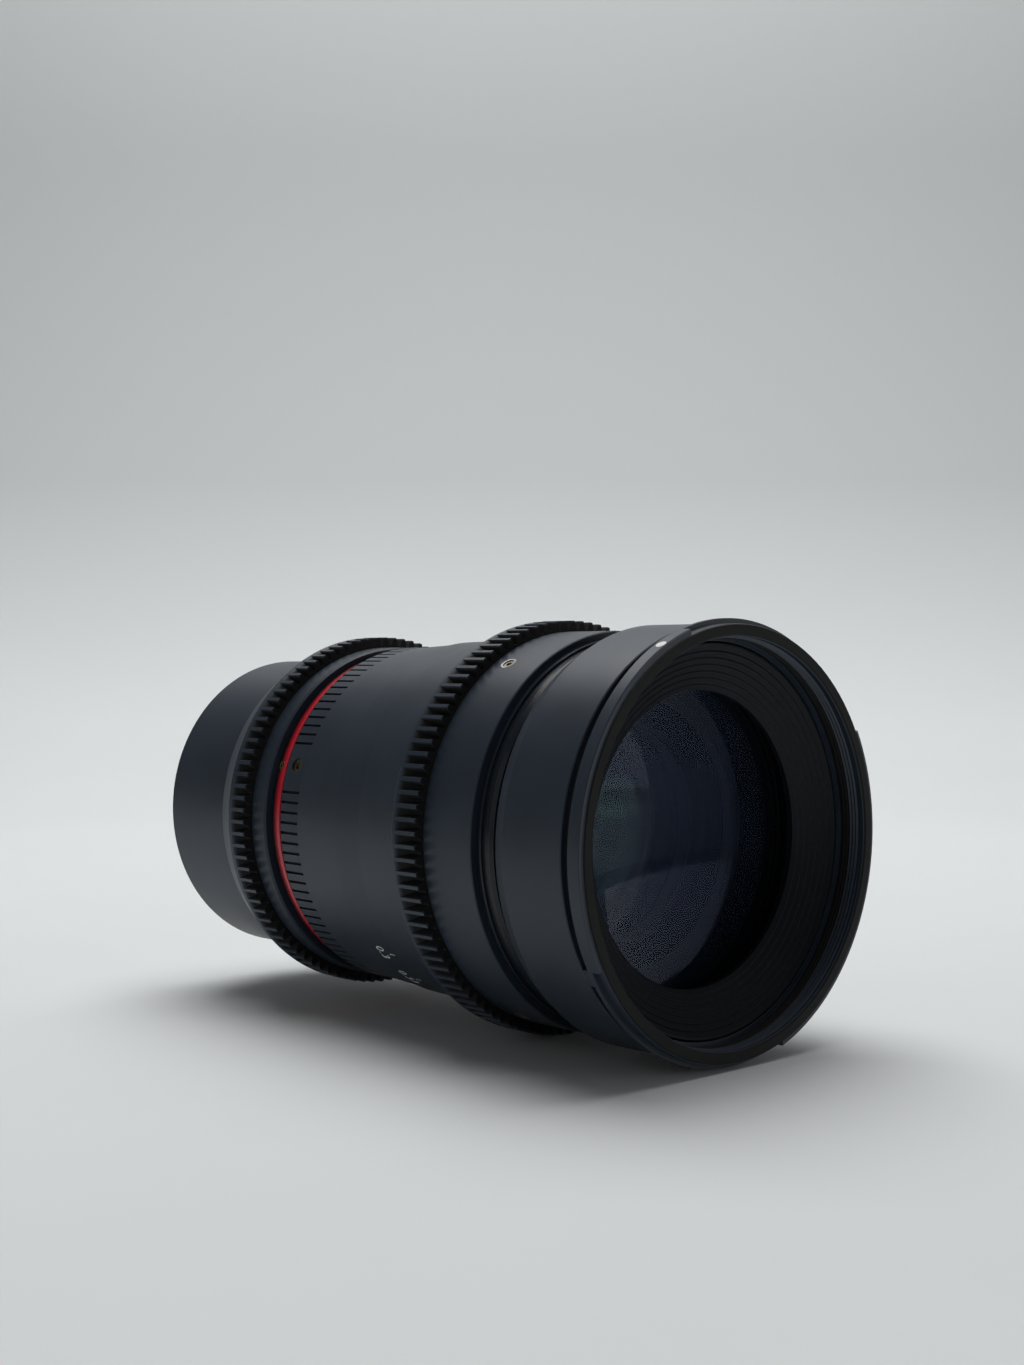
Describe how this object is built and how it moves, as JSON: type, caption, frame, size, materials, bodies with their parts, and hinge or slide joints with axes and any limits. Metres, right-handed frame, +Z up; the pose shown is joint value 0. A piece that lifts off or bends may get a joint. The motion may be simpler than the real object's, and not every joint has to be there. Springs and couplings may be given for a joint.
{
  "type": "cinema prime lens",
  "caption": "Cinema prime lens: toothed focus and aperture rings turn on a black barrel, move the glass and close a bladed iris behind a wide hooded front.",
  "frame": {"origin": "centre of the lens mount, on the rear face of the mount flange", "axes": "Y along the optical axis with the front glass facing -Y, +Z up, lens lying on its side as pictured"},
  "size_m": [0.0832, 0.1469, 0.0832],
  "materials": {
    "satin_black": "satin black anodised, fine grain",
    "gloss_black": "polished black anodised",
    "red_anodised": "satin red anodised",
    "matte_black": "matt black",
    "dark_alloy": "dark anodised",
    "mount_chrome": "turned, bright",
    "screw_steel": "bright",
    "screw_brass": "satin",
    "helicoid_brass": "turned",
    "blade_steel": "blackened",
    "coated_glass": "multi-coated"
  },
  "bodies": {
    "barrel": {"mount_flange": "mount_chrome", "mount_screws": "screw_steel", "rear_light_baffle": "matte_black", "rear_barrel": "satin_black", "red_ring": "red_anodised", "fixed_barrel": "satin_black", "barrel_set_screws": "screw_brass", "red_ring_screws": "screw_brass", "guide_ring": "dark_alloy", "neck_ring_rear": "gloss_black", "neck_ring_front": "gloss_black", "front_barrel": "satin_black", "front_baffle": "matte_black"},
    "focus_ring": {"focus_ring": "satin_black", "focus_ring_screws": "screw_brass", "focus_drive_keys": "screw_steel", "helicoid_ring": "helicoid_brass"},
    "focus_carriage": {"focus_carriage": "dark_alloy", "front_retaining_ring": "matte_black", "front_cell": "dark_alloy", "rear_cell": "dark_alloy", "rear_retaining_ring": "matte_black", "front_spacer": "matte_black", "mid_spacer": "matte_black", "rear_spacer_1": "matte_black", "rear_spacer_2": "matte_black", "iris_cover": "dark_alloy", "glass_1": "coated_glass", "glass_2": "coated_glass", "glass_3": "coated_glass", "glass_4": "coated_glass", "glass_5": "coated_glass", "glass_6": "coated_glass", "glass_7": "coated_glass", "glass_8": "coated_glass", "glass_9": "coated_glass", "glass_10": "coated_glass", "glass_11": "coated_glass"},
    "aperture_ring": {"aperture_ring": "satin_black", "iris_lever": "helicoid_brass"},
    "iris_drive_ring": {"iris_drive_ring": "helicoid_brass"},
    "iris_blade_1": {"iris_blade_1": "blade_steel"},
    "iris_blade_2": {"iris_blade_2": "blade_steel"},
    "iris_blade_3": {"iris_blade_3": "blade_steel"},
    "iris_blade_4": {"iris_blade_4": "blade_steel"},
    "iris_blade_5": {"iris_blade_5": "blade_steel"},
    "iris_blade_6": {"iris_blade_6": "blade_steel"},
    "iris_blade_7": {"iris_blade_7": "blade_steel"},
    "iris_blade_8": {"iris_blade_8": "blade_steel"}
  },
  "joints": [
    {"name": "focus_turn", "type": "hinge", "parent": "barrel", "child": "focus_ring", "pos_m": [0, 0, 0], "axis": [0, -1, 0], "range_deg": [0, 150]},
    {"name": "carriage_slide", "type": "slide", "parent": "barrel", "child": "focus_carriage", "axis": [0, -1, 0], "range_m": [0, 0.006]},
    {"name": "aperture_turn", "type": "hinge", "parent": "barrel", "child": "aperture_ring", "pos_m": [0, 0, 0], "axis": [0, -1, 0], "range_deg": [0, 65]},
    {"name": "iris_ring_turn", "type": "hinge", "parent": "focus_carriage", "child": "iris_drive_ring", "pos_m": [0, 0, 0], "axis": [0, -1, 0], "range_deg": [0, 65]},
    {"name": "blade_1_turn", "type": "hinge", "parent": "focus_carriage", "child": "iris_blade_1", "pos_m": [-0.01145, -0.0705, 0.01983], "axis": [0, -1, 0], "range_deg": [0, 40]},
    {"name": "blade_2_turn", "type": "hinge", "parent": "focus_carriage", "child": "iris_blade_2", "pos_m": [-0.02212, -0.0705, 0.00593], "axis": [0, -1, 0], "range_deg": [0, 40]},
    {"name": "blade_3_turn", "type": "hinge", "parent": "focus_carriage", "child": "iris_blade_3", "pos_m": [-0.01983, -0.0705, -0.01145], "axis": [0, -1, 0], "range_deg": [0, 40]},
    {"name": "blade_4_turn", "type": "hinge", "parent": "focus_carriage", "child": "iris_blade_4", "pos_m": [-0.00593, -0.0705, -0.02212], "axis": [0, -1, 0], "range_deg": [0, 40]},
    {"name": "blade_5_turn", "type": "hinge", "parent": "focus_carriage", "child": "iris_blade_5", "pos_m": [0.01145, -0.0705, -0.01983], "axis": [0, -1, 0], "range_deg": [0, 40]},
    {"name": "blade_6_turn", "type": "hinge", "parent": "focus_carriage", "child": "iris_blade_6", "pos_m": [0.02212, -0.0705, -0.00593], "axis": [0, -1, 0], "range_deg": [0, 40]},
    {"name": "blade_7_turn", "type": "hinge", "parent": "focus_carriage", "child": "iris_blade_7", "pos_m": [0.01983, -0.0705, 0.01145], "axis": [0, -1, 0], "range_deg": [0, 40]},
    {"name": "blade_8_turn", "type": "hinge", "parent": "focus_carriage", "child": "iris_blade_8", "pos_m": [0.00593, -0.0705, 0.02212], "axis": [0, -1, 0], "range_deg": [0, 40]}
  ],
  "couplings": [
    {"joint": "carriage_slide", "follows": "focus_turn", "m_per_rad": 0.0022918},
    {"joint": "iris_ring_turn", "follows": "aperture_turn", "ratio": 1},
    {"joint": "blade_1_turn", "follows": "aperture_turn", "ratio": 0.61538},
    {"joint": "blade_2_turn", "follows": "aperture_turn", "ratio": 0.61538},
    {"joint": "blade_3_turn", "follows": "aperture_turn", "ratio": 0.61538},
    {"joint": "blade_4_turn", "follows": "aperture_turn", "ratio": 0.61538},
    {"joint": "blade_5_turn", "follows": "aperture_turn", "ratio": 0.61538},
    {"joint": "blade_6_turn", "follows": "aperture_turn", "ratio": 0.61538},
    {"joint": "blade_7_turn", "follows": "aperture_turn", "ratio": 0.61538},
    {"joint": "blade_8_turn", "follows": "aperture_turn", "ratio": 0.61538}
  ]
}
